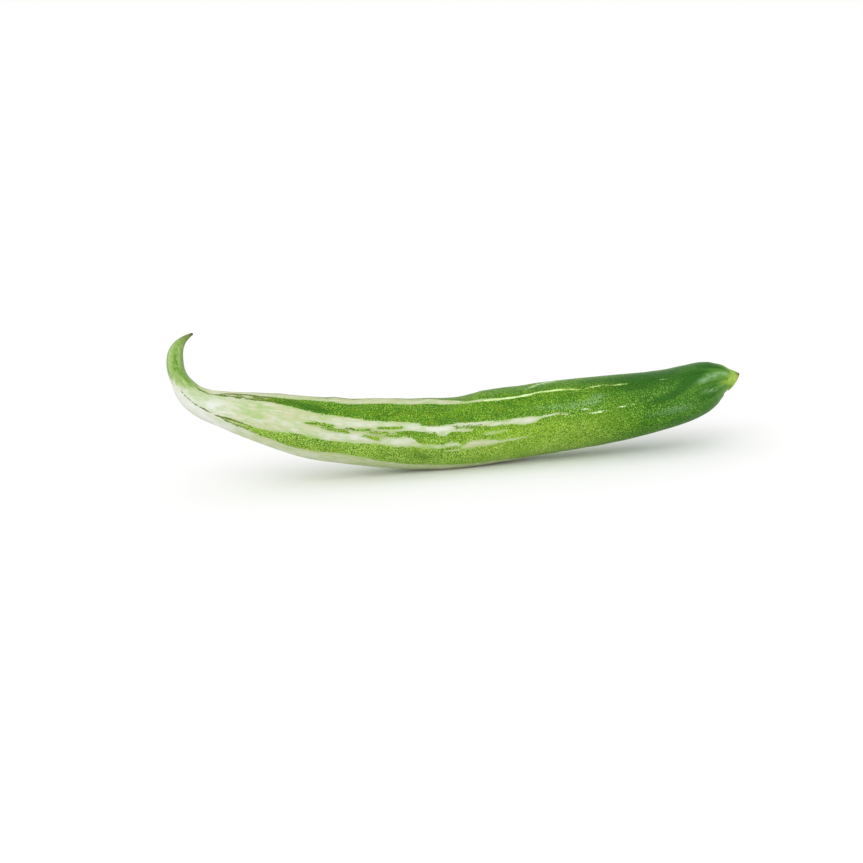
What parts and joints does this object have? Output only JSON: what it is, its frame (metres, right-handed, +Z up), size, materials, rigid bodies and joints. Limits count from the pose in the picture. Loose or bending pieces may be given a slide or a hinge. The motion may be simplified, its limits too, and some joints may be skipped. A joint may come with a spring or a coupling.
{
  "type": "snake gourd",
  "caption": "Short snake gourd lying on its belly: a long striped green pod with a thin curled blossom end and a short cut stalk.",
  "frame": {"origin": "on the surface the gourd lies on, under the middle of its length and width", "axes": "+X along the gourd towards the stalk, +Z up, +Y away from the side the picture shows"},
  "size_m": [0.3603, 0.0474, 0.0996],
  "materials": {
    "fruit_skin": "satin",
    "stalk_skin": "matte"
  },
  "bodies": {
    "root": {"fruit": "fruit_skin", "stalk": "stalk_skin"}
  },
  "joints": []
}
